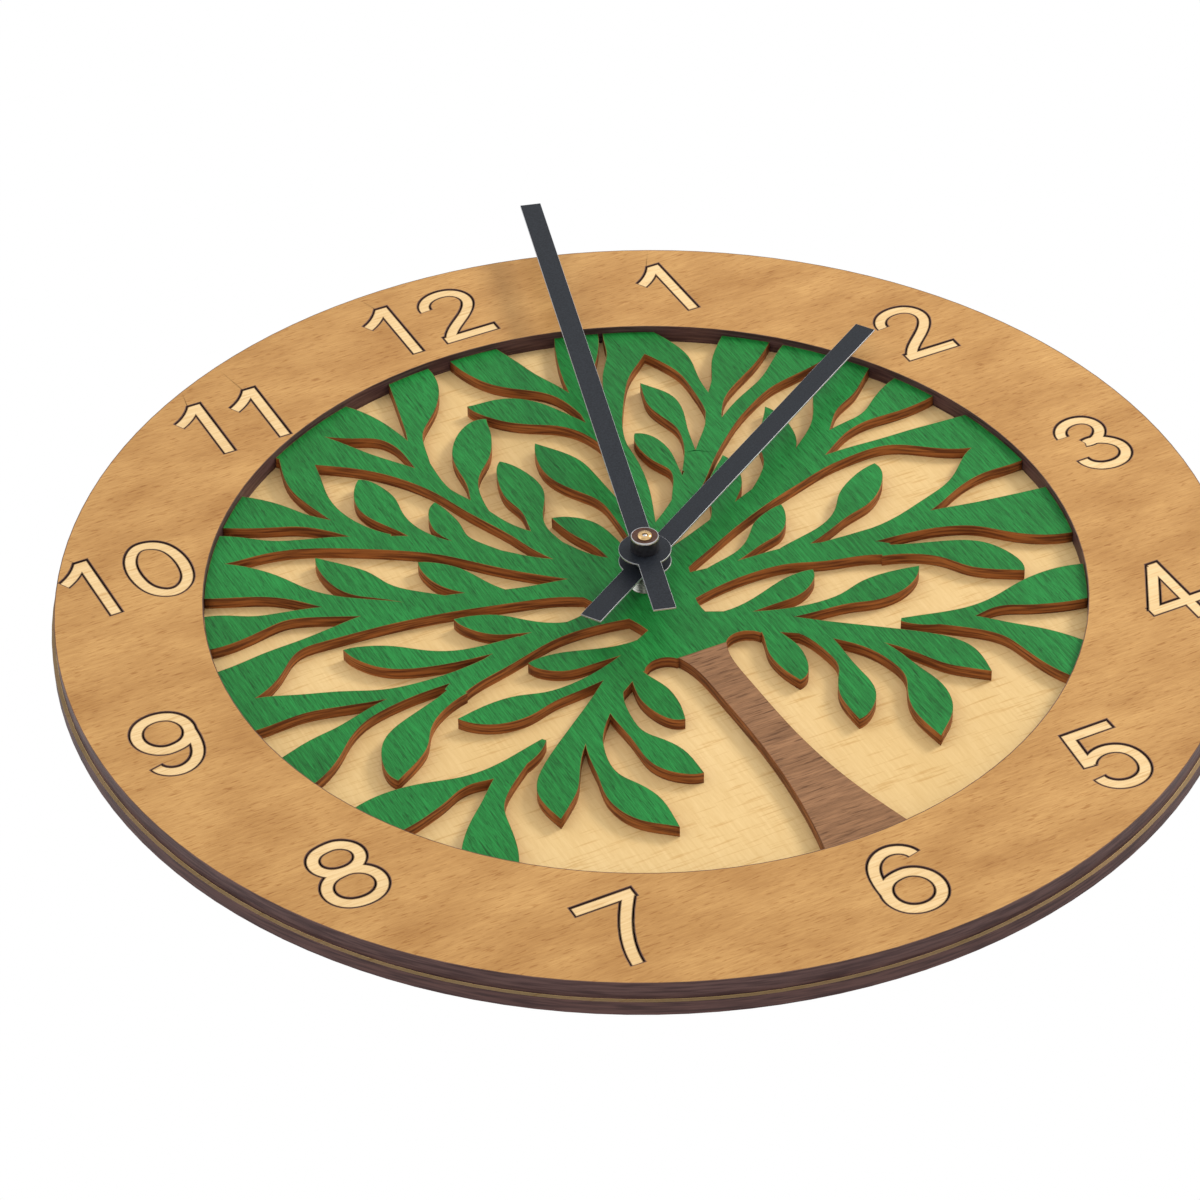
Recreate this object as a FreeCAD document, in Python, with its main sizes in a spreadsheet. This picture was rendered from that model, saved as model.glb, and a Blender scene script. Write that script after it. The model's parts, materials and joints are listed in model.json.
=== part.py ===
import FreeCAD, Part
import Sketcher
import os
from math import acos, cos, pi, radians, sin, tan

# Round wooden wall clock with a tree in relief, hung by its battery movement.
# Every piece is drawn in the dial frame: X to 3 o'clock, Y to 12 o'clock, Z out of
# the dial, the wall at Z = 0. DIAL turns that frame upright, so that the finished
# clock faces -Y with 12 o'clock at +Z.

Vector = FreeCAD.Vector
DIAL = FreeCAD.Placement(Vector(0, 0, 0), FreeCAD.Rotation(Vector(1, 0, 0), 90))
OUT = Vector(0, 0, 1)

doc = FreeCAD.newDocument("WallClock")

# ------------------------------------------------------------------ driving sizes
SIZES = [
    ("ring_radius", 150.0, "outer radius of the hour ring"),
    ("window_radius", 112.4, "radius of the ring's window"),
    ("ring_thick", 5.0, "thickness of the hour ring"),
    ("board_lip", 1.0, "how far the back board shows past the ring"),
    ("board_thick", 4.0, "thickness of the back board"),
    ("tree_thick", 3.2, "thickness of the tree relief"),
    ("tree_gap", 0.15, "saw gap between the tree and the ring's window"),
    ("numeral_circle", 131.5, "radius on which the numerals are centred"),
    ("numeral_high", 24.0, "height of a numeral"),
    ("numeral_stroke", 2.9, "stroke of a numeral"),
    ("numeral_kerf", 0.4, "gap round a numeral in its slot"),
    ("numeral_drop", 0.2, "how far a numeral lies below the ring's face"),
    ("pad_thick", 1.0, "adhesive pad between case and board"),
    ("pad_margin", 2.0, "how far the pad stops short of the case's edge"),
    ("case_side", 56.0, "side of the square movement case"),
    ("case_depth", 16.5, "depth of the movement case, wall to board"),
    ("case_wall", 1.0, "wall of the movement case"),
    ("cover_thick", 1.2, "thickness of the rear cover"),
    ("bay_high", 15.1, "height of the battery bay"),
    ("battery_dia", 14.5, "diameter of the cell"),
    ("battery_long", 49.5, "length of the cell without its cap"),
    ("battery_cap", 1.0, "height of the cell's positive cap"),
    ("battery_cap_dia", 5.5, "diameter of the cell's positive cap"),
    ("contact_thick", 0.4, "thickness of a battery contact"),
    ("contact_wide", 8.0, "width of a battery contact"),
    ("hanger_wide", 18.0, "width of the hanging loop"),
    ("hanger_high", 12.0, "height of the hanging loop"),
    ("hanger_thick", 2.5, "thickness of the hanging loop"),
    ("keyhole_dia", 8.0, "wide end of the keyhole, for the nail's head"),
    ("keyhole_slot", 4.0, "narrow end of the keyhole, for the nail's shank"),
    ("keyhole_rise", 4.5, "height of the narrow end above the wide end"),
    ("bush_dia", 7.7, "thread diameter of the bush"),
    ("bush_bore", 6.12, "bore of the bush"),
    ("bush_rise", 4.5, "how far the bush stands out of the ring's face"),
    ("bush_gap", 0.2, "gap round the bush in the wooden layers"),
    ("flange_dia", 12.0, "diameter of the bush's flange inside the case"),
    ("flange_thick", 0.6, "thickness of that flange"),
    ("hour_pipe_dia", 6.0, "outer diameter of the hour pipe"),
    ("hour_pipe_bore", 3.6, "bore of the hour pipe"),
    ("hour_pipe_tip", 2.4, "hour pipe past the hour hand's face"),
    ("minute_arbor_dia", 3.5, "diameter of the minute arbor"),
    ("minute_arbor_bore", 1.5, "bore of the minute arbor"),
    ("second_arbor_dia", 1.4, "diameter of the second arbor"),
    ("hand_thick", 0.5, "thickness of a hand"),
    ("hand_wide", 5.8, "width of a hand"),
    ("hand_hub_dia", 13.4, "diameter of a hand's hub disc"),
    ("hour_hand_long", 119.4, "hour hand from the axis to its end"),
    ("hour_hand_tail", 27.0, "hour hand's tail"),
    ("hour_hand_lift", 5.5, "hour hand above the ring's face"),
    ("minute_hand_long", 162.6, "minute hand from the axis to its end"),
    ("minute_hand_tail", 25.0, "minute hand's tail"),
    ("minute_hand_lift", 9.2, "minute hand above the ring's face"),
    ("nut_dia", 7.3, "diameter of the round hand nut"),
    ("nut_high", 4.2, "height of the hand nut"),
    ("arbor_show", 0.3, "minute arbor past the nut"),
    ("wheel_thick", 0.8, "thickness of a wheel"),
    ("pin_dia", 0.8, "diameter of a wheel's fixed pin"),
    ("pin_fit", 0.03, "running clearance of a wheel on its pin, on the radius"),
    ("motion_module", 0.25, "tooth module of cannon pinion, motion wheel and knob"),
    ("centre_module", 0.3, "tooth module of the centre wheel and third pinion"),
    ("second_module", 0.25, "tooth module of the second wheel"),
    ("rotor_module", 0.2, "tooth module of the intermediate wheel"),
    ("rotor_dia", 5.5, "diameter of the rotor magnet"),
    ("rotor_air", 0.4, "air gap between rotor and stator, on the radius"),
    ("stator_thick", 0.8, "thickness of the stator plate and of the coil's core"),
    ("coil_dia", 6.0, "outer diameter of the coil"),
    ("coil_long", 20.0, "length of the coil"),
    ("knob_dia", 9.0, "diameter of the setting knob"),
    ("knob_high", 2.6, "height of the setting knob"),
    ("knob_shaft_dia", 2.4, "diameter of the knob's shaft"),
    ("knob_cup_dia", 10.4, "inside of the cup that the knob turns in"),
    ("knob_sunk", 0.3, "how far the knob lies below the cover's face"),
    ("circuit_thick", 0.8, "thickness of the circuit board"),
]

sheet = doc.addObject("Spreadsheet::Sheet", "Sizes")
for row, (alias, value, note) in enumerate(SIZES, start=1):
    sheet.set(f"A{row}", note)
    sheet.set(f"B{row}", str(value))
    sheet.setAlias(f"B{row}", alias)
doc.recompute()


def size(name):
    """The value of one driving size."""
    return float(sheet.get(name))


# ------------------------------------------------------------- levels out of the wall
# each level is an expression of the sheet's cells, so that it follows them
S = "Sizes."
FRONT = f"({S}case_depth - {S}case_wall)"
BOARD = f"({S}case_depth + {S}pad_thick)"
RING = f"({BOARD} + {S}board_thick)"
FACE = f"({RING} + {S}ring_thick)"
HOUR_HAND = f"({FACE} + {S}hour_hand_lift)"
MINUTE_HAND = f"({FACE} + {S}minute_hand_lift)"


def level(expression):
    """The number that an expression of the sheet gives now."""
    return float(sheet.evalExpression(expression))


# --------------------------------------------------------------------- piece helpers
pieces = {}


def keep(node, piece, turn=0.0, place=FreeCAD.Placement()):
    """Names a finished sub-part and stands it upright, turned clockwise by turn."""
    piece.Label = node
    turned = FreeCAD.Placement(Vector(0, 0, 0), FreeCAD.Rotation(OUT, -turn))
    piece.Placement = DIAL.multiply(turned).multiply(place)
    pieces[node] = piece
    return piece


def body(node):
    return doc.addObject("PartDesign::Body", node + "_body")


def bind(feature, **expressions):
    for name, expression in expressions.items():
        feature.setExpression(name.replace("_", "."), str(expression))
    return feature


def at(feature, x, y, z):
    for axis, expression in zip("xyz", (x, y, z)):
        feature.setExpression("Placement.Base." + axis, str(expression))
    return feature


def block(owner, x, y, z, long, wide, high, cut=False):
    """A block from its lowest corner, added to a body or cut from it."""
    kind = "PartDesign::SubtractiveBox" if cut else "PartDesign::AdditiveBox"
    made = owner.newObject(kind, owner.Name + ("_cut" if cut else "_block"))
    return at(bind(made, Length=long, Width=wide, Height=high), x, y, z)


def rod(owner, x, y, z, radius, high, cut=False):
    """An upright cylinder from the centre of its lower face."""
    kind = "PartDesign::SubtractiveCylinder" if cut else "PartDesign::AdditiveCylinder"
    made = owner.newObject(kind, owner.Name + ("_bore" if cut else "_rod"))
    return at(bind(made, Radius=radius, Height=high), x, y, z)


def feature(node, shape, turn=0.0):
    """A sub-part whose shape comes from Part's own functions."""
    made = doc.addObject("Part::Feature", node + "_shape")
    made.Shape = shape
    return keep(node, made, turn, shape.Placement)


def extruded(face, low, high):
    solid = face.extrude(Vector(0, 0, high - low))
    solid.translate(Vector(0, 0, low))
    return solid


def disc(radius, x=0.0, y=0.0):
    return Part.Face(Part.Wire(Part.makeCircle(radius, Vector(x, y, 0))))


def united(faces):
    """One slab, 1 high, from flat faces that may overlap."""
    slabs = [face.extrude(OUT) for face in faces]
    return slabs[0].fuse(slabs[1:]).removeSplitter() if len(slabs) > 1 else slabs[0]


def footprint(slab):
    """The faces of a slab that lie on the plane it stands on."""
    return [face for face in slab.Faces
            if face.BoundBox.ZLength < 1e-6 and abs(face.BoundBox.ZMin) < 1e-6]


# ------------------------------------------------------------------- ribbon outlines
def smooth(points):
    curve = Part.BSplineCurve()
    curve.interpolate([Vector(x, y, 0) for x, y in points])
    return curve


def ribbon(route, grow=0.0):
    """A flat strip along a smooth line. Each point of the route is x, y and the
    strip's width there, and the width swells as smoothly as the line bends. A last
    width of 0 gives a pointed end. grow widens the strip and lengthens its square
    ends by that much all round."""
    line = Part.BSplineCurve()
    line.interpolate([Vector(*point) for point in route])
    first, last = line.FirstParameter, line.LastParameter
    steps = 2 * (len(route) - 1)
    pointed = route[-1][2] == 0
    left, right = [], []
    for i in range(steps + 1):
        station = first + (last - first) * i / steps
        half = 0.0 if pointed and i == steps else max(line.value(station).z / 2, 0.2) + grow
        left.append(side_point(line, station, half))
        right.append(side_point(line, station, -half))
    edges = [smooth(left).toShape()]
    if not pointed:
        edges.append(Part.makeLine(Vector(*left[-1], 0), Vector(*right[-1], 0)))
    edges.append(smooth(right).toShape())
    edges.append(Part.makeLine(Vector(*right[0], 0), Vector(*left[0], 0)))
    return Part.Face(Part.Wire(Part.__sortEdges__(edges)))


def side_point(line, station, offset):
    point, (along,) = line.value(station), line.tangent(station)
    along = Vector(along.x, along.y, 0).normalize()
    return point.x - along.y * offset, point.y + along.x * offset


def bar(x0, y0, x1, y1, wide, grow=0.0):
    """A straight strip with square ends."""
    start, end = Vector(x0, y0, 0), Vector(x1, y1, 0)
    along = (end - start).normalize()
    across = Vector(-along.y, along.x, 0) * (wide / 2 + grow)
    start, end = start - along * grow, end + along * grow
    corners = [start + across, end + across, end - across, start - across]
    return Part.Face(Part.makePolygon(corners + corners[:1]))


def oval(wide, high, y=0.0):
    """A closed rounded outline, squarer than an ellipse."""
    quarter = [(0.0, 0.5), (0.34, 0.385), (0.492, 0.15)]
    right = quarter + [(px, -py) for px, py in reversed(quarter)]
    loop = right + [(-px, py) for px, py in reversed(right[1:-1])]
    curve = Part.BSplineCurve()
    curve.interpolate([Vector(px * wide, y + py * high, 0) for px, py in loop],
                      PeriodicFlag=True)
    return Part.Face(Part.Wire(curve.toShape()))


# ------------------------------------------------------------------------ the boards
def make_boards():
    board = body("back_board")
    radius = f"{S}ring_radius + {S}board_lip"
    rod(board, 0, 0, BOARD, radius, f"{S}board_thick")
    rod(board, 0, 0, BOARD, f"{S}bush_dia / 2 + {S}bush_gap", f"{S}board_thick", cut=True)
    keep("back_board", board)

    blank = body("ring_blank")
    sketch = blank.newObject("Sketcher::SketchObject", "ring_outline")
    plane = [f for f in blank.Origin.OriginFeatures if f.Role == "XY_Plane"][0]
    sketch.AttachmentSupport = (plane, [""])
    sketch.MapMode = "FlatFace"
    sketch.setExpression("AttachmentOffset.Base.z", RING)
    for index, radius in enumerate(("ring_radius", "window_radius")):
        sketch.addGeometry(Part.Circle(Vector(0, 0, 0), OUT, size(radius)), False)
        sketch.addConstraint(Sketcher.Constraint("Coincident", index, 3, -1, 1))
        number = sketch.addConstraint(Sketcher.Constraint("Radius", index, size(radius)))
        sketch.renameConstraint(number, radius)
        sketch.setExpression("Constraints." + radius, S + radius)
    pad = blank.newObject("PartDesign::Pad", "ring_pad")
    pad.Profile = sketch
    bind(pad, Length=f"{S}ring_thick")
    return blank


# ---------------------------------------------------------------------- the numerals
# strokes are drawn for a numeral 24 high, about its own centre
DRAWN_HIGH = 24.0

CURVES = {
    "1": [[(-4.6, 4.7), (-1.4, 6.9), (2.4, 11.6)]],
    "2": [[(-6.3, 4.6), (-4.7, 8.7), (0.0, 10.5), (4.6, 8.9), (6.1, 5.3),
           (4.3, 0.8), (-0.8, -4.3), (-5.6, -9.9)]],
    "3": [[(-6.0, 5.2), (-4.3, 8.9), (-0.4, 10.5), (3.6, 9.2), (5.0, 6.0),
           (3.2, 2.2), (-1.9, 0.8)],
          [(-1.9, 0.6), (3.4, -0.4), (6.2, -4.9), (4.4, -9.0), (-0.2, -10.5),
           (-4.5, -9.0), (-6.3, -5.2)]],
    "5": [[(-5.6, -0.2), (-3.4, 1.9), (0.3, 2.8), (4.6, 1.0), (6.4, -3.8),
           (4.6, -8.7), (0.1, -10.5), (-4.4, -8.9), (-6.2, -5.5)]],
    "6": [[(6.3, 6.8), (4.3, 9.6), (0.9, 10.5), (-3.6, 8.2), (-5.9, 3.0), (-6.3, -3.5)]],
    "7": [[(6.6, 10.4), (2.6, 4.0), (-0.6, -3.0), (-2.5, -12.0)]],
}
BARS = {
    "1": [(2.95, -12.0, 2.95, 12.0)],
    "2": [(-7.5, -10.55, 7.7, -10.55)],
    "4": [(2.6, 10.9, -6.7, -4.7), (-7.8, -4.9, 7.8, -4.9), (3.1, -12.0, 3.1, 12.0)],
    "5": [(-4.5, 10.55, 6.7, 10.55), (-4.9, 12.0, -6.1, -0.9)],
    "7": [(-7.8, 10.55, 7.8, 10.55)],
}
OVALS = {
    "0": [(15.5, 24.0, 0.0)],
    "6": [(15.6, 15.6, -4.2)],
    "8": [(14.1, 12.4, 5.8), (15.9, 14.4, -4.8)],
}
# glyphs of each hour and where each stands beside the hour's centre
SPACING = {10: (-11.0, 8.5), 11: (-7.1, 8.9), 12: (-11.35, 8.1)}
# where each hour's centre lies beside its even place on the numeral circle
NUDGE = {1: (-1.0, -0.6), 2: (1.4, -2.2), 3: (0.0, -3.6), 4: (0.0, -1.3),
         5: (1.0, -0.8), 6: (1.0, 1.5), 7: (0.7, -0.7), 8: (0.0, -1.3),
         9: (-0.9, -3.6), 10: (-2.7, -3.8), 11: (-2.1, -1.9), 12: (0.0, -1.5)}


def digit(name, stroke, grow):
    """One digit as a slab, grow wider all round than the stroke."""
    if name == "9":
        turned = digit("6", stroke, grow)
        turned.rotate(Vector(0, 0, 0), OUT, 180)
        return turned
    faces = [ribbon([(x, y, stroke) for x, y in line], grow)
             for line in CURVES.get(name, [])]
    faces += [bar(*ends, stroke, grow) for ends in BARS.get(name, [])]
    faces += [oval(wide + 2 * grow, high + 2 * grow, y)
              for wide, high, y in OVALS.get(name, [])]
    slab = united(faces)
    for wide, high, y in OVALS.get(name, []):
        inner = 2 * (stroke + grow)
        slab = slab.cut(oval(wide - inner, high - inner, y).extrude(OUT))
    limit = DRAWN_HIGH / 2 + grow
    return slab.common(Part.makeBox(2 * limit, 2 * limit, 1, Vector(-limit, -limit, 0)))


def hour_faces(hour, grow):
    """The flat faces of one hour's digits, in place on the dial."""
    scale = size("numeral_high") / DRAWN_HIGH
    nudge_x, nudge_y = NUDGE[hour]
    centre_x = size("numeral_circle") * sin(radians(30 * hour)) + nudge_x
    centre_y = size("numeral_circle") * cos(radians(30 * hour)) + nudge_y
    found = []
    for name, shift in zip(str(hour), SPACING.get(hour, (0.0,))):
        slab = digit(name, size("numeral_stroke") / scale, grow / scale)
        slab.scale(scale)
        slab.translate(Vector(centre_x + shift * scale, centre_y, 0))
        found += footprint(slab)
    return found


def make_ring(blank):
    """The hour ring with its slots, the twelve inlaid numerals and the small
    counters that stand inside the closed digits."""
    low, high = level(RING), level(FACE)
    slots, counters = [], []
    for hour in range(1, 13):
        for face in hour_faces(hour, size("numeral_kerf")):
            outer = face.OuterWire
            slots.append(extruded(Part.Face(outer), low, high))
            for wire in face.Wires:
                if not wire.isSame(outer):
                    counters.append(extruded(Part.Face(wire), low, high))
        inlay = [extruded(face, low, high - size("numeral_drop"))
                 for face in hour_faces(hour, 0.0)]
        feature(f"numeral_{hour}", inlay[0] if len(inlay) == 1 else Part.Compound(inlay))
    tool = doc.addObject("Part::Feature", "numeral_slots")
    tool.Shape = Part.Compound(slots)
    ring = doc.addObject("Part::Cut", "hour_ring_cut")
    ring.Base, ring.Tool = blank, tool
    keep("hour_ring", ring)
    feature("counter_pieces", Part.Compound(counters))


# -------------------------------------------------------------------------- the tree
# drawn for a window of this radius: x, y and width along each branch and leaf
DRAWN_WINDOW = 112.4

# leaves and boughs that grow the same way on both sides
PAIRED = [
    [(-60, -16, 5), (-68, -19.5, 4.5), (-75, -23.5, 7.5), (-80.5, -28.5, 11),
     (-85, -34, 8.5), (-88.2, -40.5, 0)],
    [(-8, -21, 5), (-18, -21, 4), (-26, -19.8, 6), (-32, -18.6, 7.5),
     (-37.5, -16.5, 5), (-40.6, -14.8, 0)],
    [(-14, -24, 6), (-26, -27.5, 4), (-34, -28.8, 3.4), (-42, -29.2, 4.5),
     (-49, -29.2, 8.5), (-56, -28.8, 8.5), (-61, -27.8, 5.5), (-65.4, -26.2, 0)],
    [(-12, -24, 7), (-22, -30, 7), (-30, -36, 6), (-38, -42, 5.5), (-45, -48, 6.5),
     (-51, -54.5, 9), (-55.5, -61, 10), (-58, -66.5, 6), (-59.8, -71.5, 0)],
    [(-27, -34, 5), (-34, -41, 5), (-39, -48, 4.5), (-41.5, -55, 4.2),
     (-42.5, -62, 4.8), (-41.8, -70, 9.5), (-40, -76.5, 10), (-38, -82, 6),
     (-36, -87.2, 0)],
    [(-24, -31, 5), (-28, -37, 5), (-29.4, -45, 4.2), (-29.2, -52, 4),
     (-27.8, -58, 7.5), (-26.4, -63, 9), (-24.4, -68, 6.5), (-21.6, -72.4, 0)],
    [(-18, -25, 3.5), (-18.6, -33, 4.5), (-18.3, -40, 8), (-18, -45, 7.5),
     (-16.1, -52.4, 0)],
]
# the lower sprigs stand clear of the crown
SPRIG = [
    [(-50.2, -43.2, 1.2), (-58, -47, 4.6), (-66, -48.6, 4.4), (-74, -48.2, 3.6),
     (-81, -48.6, 8), (-88.5, -49.4, 12.4), (-104, -52, 12)],
    [(-58, -47, 4.0), (-66.5, -53.2, 5.2), (-71.5, -58.6, 5.6), (-75.6, -65, 9.5),
     (-79, -72, 13), (-85, -84, 12)],
]
CROWN = [
    # left: the bough to the ring, west
    [(-6, -6, 12), (-18, -6.6, 6), (-28, -7, 4.6), (-38, -7.8, 7), (-46, -10.4, 6.5),
     (-54, -12.6, 6), (-62, -16.5, 5)],
    [(-44, -9, 4), (-56, -11, 4), (-68, -10.6, 3.4), (-78, -9, 4), (-88, -5.6, 6),
     (-97, -3, 7.5), (-105, -1.5, 11), (-118, -1, 10)],
    [(-60, -11.4, 3), (-70, -11.6, 3), (-78, -12.6, 3), (-86, -14.8, 3.2),
     (-92, -17.5, 5), (-98.5, -20.8, 9.5), (-104, -23.8, 12), (-116, -28, 12)],
    [(-38, -6, 4), (-46, -5.4, 4), (-55, -4, 4.6), (-63, -1, 7), (-70, 3.4, 9),
     (-75, 7.6, 6.5), (-79.2, 11.6, 0)],
    [(-22, -7, 4), (-29, -4.6, 3.4), (-35, -1.2, 5.5), (-41, 2.8, 8), (-46, 6.6, 5.5),
     (-49.4, 9.8, 0)],
    # left: the bough above it
    [(-4, 2, 12), (-14, 6, 9), (-22, 8.8, 6.5), (-30, 10.8, 5.8), (-45, 15.4, 7),
     (-58, 18, 7), (-70, 19, 6), (-80, 18.8, 4.2), (-89, 18.3, 3.6), (-96, 16, 8),
     (-103, 12.8, 12.5), (-118, 11.6, 13.5)],
    [(-60, 20, 4), (-70, 24.6, 4.6), (-79, 28.6, 4), (-87, 30.9, 3.6), (-94, 31.4, 6.5),
     (-101, 32.6, 11.5), (-114, 35, 11)],
    [(-58, 19, 5), (-66, 24.4, 6), (-73, 29.8, 5.6), (-79, 36.6, 5.5), (-84.5, 43.4, 9),
     (-91, 49, 13), (-106, 57, 13)],
    [(-48, 17, 5), (-54, 22, 5.5), (-59.5, 27.6, 6), (-64.5, 34.6, 10), (-67.8, 41.6, 7.5),
     (-70, 49.4, 0)],
    [(-32, 11, 4), (-35.5, 14.6, 5), (-39, 19.6, 7), (-42.6, 25.6, 8.8),
     (-45.4, 31, 6), (-47.4, 35.4, 0)],
    # left: the north-west bough
    [(-6, 8, 10), (-14, 14, 8), (-22, 20.4, 7), (-30, 28.6, 7), (-38, 37, 6.5),
     (-46, 43.4, 6.5), (-55, 48.6, 5.5), (-64, 53.4, 4.8), (-72, 56.7, 4),
     (-79, 59.3, 5.5), (-85, 61.8, 9.5), (-91, 64, 12.5), (-104, 68.5, 13)],
    [(-46, 43, 4), (-52.5, 49.6, 4.6), (-57, 55.4, 4.8), (-61.5, 60.6, 4.6),
     (-66, 65, 5.4), (-71, 69.6, 9.4), (-77, 74.4, 13), (-90, 83, 12)],
    [(-50, 47.6, 4.4), (-55.2, 55, 4.4), (-58.2, 64, 4.4), (-59.4, 72, 6.4),
     (-59.2, 80, 9), (-58, 87, 9), (-55, 104, 8)],
    [(-36, 36, 5), (-41, 42.4, 4.6), (-43.6, 49, 4.4), (-45.6, 56, 7.5),
     (-46.3, 63, 10.4), (-46.1, 69, 8), (-46.2, 74.8, 0)],
    [(-27, 27, 4), (-31, 33.4, 4.2), (-33.2, 38.6, 4.2), (-34.3, 44.4, 7),
     (-34.2, 49.4, 6.4), (-32.6, 56.4, 0)],
    # left: the bough to the top
    [(-5, 10, 9), (-11, 18, 7), (-15.5, 27, 7), (-19, 34, 4.4), (-22, 41, 3.6),
     (-25, 49.6, 4.4), (-28.4, 59, 3.8), (-31.2, 67, 5.6), (-35.6, 74, 6),
     (-42, 82, 7.6), (-49, 90, 12), (-60, 102, 12)],
    [(-28, 58, 3.4), (-28.8, 67, 4), (-28.6, 75, 4.6), (-29.2, 83, 4.2),
     (-31.4, 90, 6), (-35.4, 95.6, 11), (-40.4, 101, 14.6), (-50, 112, 12)],
    [(-28.6, 72, 4), (-27, 79, 4.4), (-24.6, 86, 4.4), (-20.8, 93.4, 8.4),
     (-17, 101, 12), (-15, 118, 9.4)],
    [(-23.6, 45, 3.6), (-22.6, 52, 3.2), (-20.6, 58.6, 3), (-18.2, 65, 6.6),
     (-15.4, 70.4, 10), (-11.4, 77, 9.6), (-4.6, 83.4, 0)],
    [(-13, 22, 6), (-14, 28.6, 5.4), (-13.6, 34.4, 4.4), (-11.9, 40.4, 5.4),
     (-10.2, 49, 10.4), (-9.9, 56, 8.8), (-9.8, 64.6, 0)],
    [(0, 6, 8), (-0.6, 16, 6), (-1.4, 22, 6.8), (-3.2, 27.6, 7.6), (-5.6, 32, 5.4),
     (-8.7, 36, 0)],
    # middle
    [(5, 6, 8), (7.4, 18, 5), (8, 28, 4.4), (7.9, 37, 4.6), (5.7, 46, 8.8),
     (3.9, 54, 10.8), (2.7, 60.5, 7.4), (2, 67.4, 0)],
    [(20, 56, 5), (18.6, 62, 4), (16.2, 68.6, 4.4), (12.8, 74, 6.4), (8.4, 79, 10),
     (3, 84, 11), (-2.4, 87.6, 7), (-6.6, 91, 0)],
    [(20.5, 64, 4), (19.8, 78, 3.4), (17.4, 86.4, 4.4), (13, 93.4, 8),
     (9, 100, 12.4), (6.6, 106, 13.6), (4.6, 120, 12)],
    # right: the bough to the top
    [(6, 8, 9), (12.6, 24, 5), (17, 36, 5.4), (19.6, 48, 6), (20.4, 58, 6.4),
     (21, 68, 6), (22, 77, 5.6), (23.8, 85, 6.4), (26.8, 92, 9), (30.4, 99, 11.4),
     (36, 112, 11)],
    [(21, 56, 5), (24, 64, 4.4), (27.6, 71.4, 5), (31.6, 79, 6), (36, 86, 7.6),
     (41, 91.6, 9.6), (45.4, 98, 13), (52, 110, 12)],
    # right: the north-east bough
    [(4, 6, 9), (12, 16.4, 6), (18, 21.4, 5), (25, 27, 5.4), (32, 34, 6.4),
     (38.6, 41, 6), (46, 47.4, 5), (53, 53, 4.4), (61, 58.4, 4.4), (69, 62.6, 4.6),
     (76, 66, 8), (82.6, 69.4, 12), (94, 75, 12)],
    [(40, 43, 5), (46.6, 50.6, 5), (50.4, 57.4, 4), (51.8, 64.6, 3.6), (52.4, 71, 3.4),
     (53.2, 77.4, 4.6), (53.2, 84, 7.4), (51.6, 90.6, 9), (46, 102, 12)],
    [(46.4, 50, 4.4), (50.6, 57.6, 4.4), (54.4, 63.4, 4.8), (59.4, 68.6, 6.6),
     (65, 74.6, 11), (70.6, 80, 13), (82, 91, 12)],
    [(33, 37, 5), (36.2, 43.6, 3.4), (38.4, 49.6, 2.4), (39.9, 55.4, 2.8),
     (40.6, 62, 6.2), (40.5, 69, 7.8), (40, 74, 4.6), (39.4, 78.8, 0)],
    [(24, 27, 4), (27.6, 33.6, 3.4), (29.4, 40, 2.6), (29.2, 45.4, 5.6),
     (28.8, 51, 6.8), (27.5, 59, 0)],
    # right: the bough to the ring, east
    [(4, 1, 12), (12, 5.4, 9), (20, 8.8, 8), (28, 12.4, 7.4), (38, 16.6, 7),
     (48, 20.5, 7.4), (56, 22.8, 7), (64, 24.2, 5), (74, 25, 3.6), (84, 24.5, 3.4),
     (91.5, 22.6, 7.2), (99, 19.8, 12), (117, 18.2, 12)],
    [(58, 24, 5), (65, 28, 5), (71, 32, 5), (78, 35.1, 3.6), (85, 36.6, 3.4),
     (92, 38.6, 8), (99, 41, 12), (112, 44.4, 11)],
    [(50, 22, 5), (60, 28, 5.6), (67.4, 33.4, 6), (73.4, 39.4, 5.4), (78, 45.4, 6.6),
     (84, 51.4, 11), (90, 56.4, 11), (104, 66, 9)],
    [(44, 20, 5), (50, 25, 5.6), (54.4, 30, 6.4), (58.8, 36.8, 10), (62, 44, 8),
     (64, 53.4, 0)],
    [(26, 12, 5), (30.4, 16, 5), (34, 21.6, 6.6), (38.2, 28, 8.8), (41.6, 33.8, 6),
     (43.6, 39.4, 0)],
    # right: the lowest bough to the ring
    [(6, -6, 12), (18, -5.6, 7.6), (28, -5.8, 6.2), (38, -6.8, 7), (46, -9.4, 8),
     (54, -12, 7), (62, -16.5, 5)],
    [(44, -8, 5), (58, -9.2, 5.4), (68, -9.8, 6), (78, -10.8, 7.4), (88, -13.8, 9.6),
     (96, -17.6, 15), (103, -20.8, 19), (117, -23, 19)],
    [(58, -8.6, 4), (72, -7.2, 4), (82, -4.2, 4.4), (90, -0.8, 3.6), (96, 2.2, 5.6),
     (102, 5, 10), (117, 5.8, 10)],
    [(38, -5, 4), (46, -3, 3.6), (52.6, -0.8, 3), (59, 2.6, 4.4), (65, 6.6, 8.8),
     (70.6, 10.8, 8.6), (77.2, 17.4, 0)],
    [(14, -5, 4), (21, -2.4, 3.4), (28, -0.2, 3), (34, 3, 5), (39, 6.2, 8),
     (43, 9.6, 6), (46.8, 13.2, 0)],
]
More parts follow.
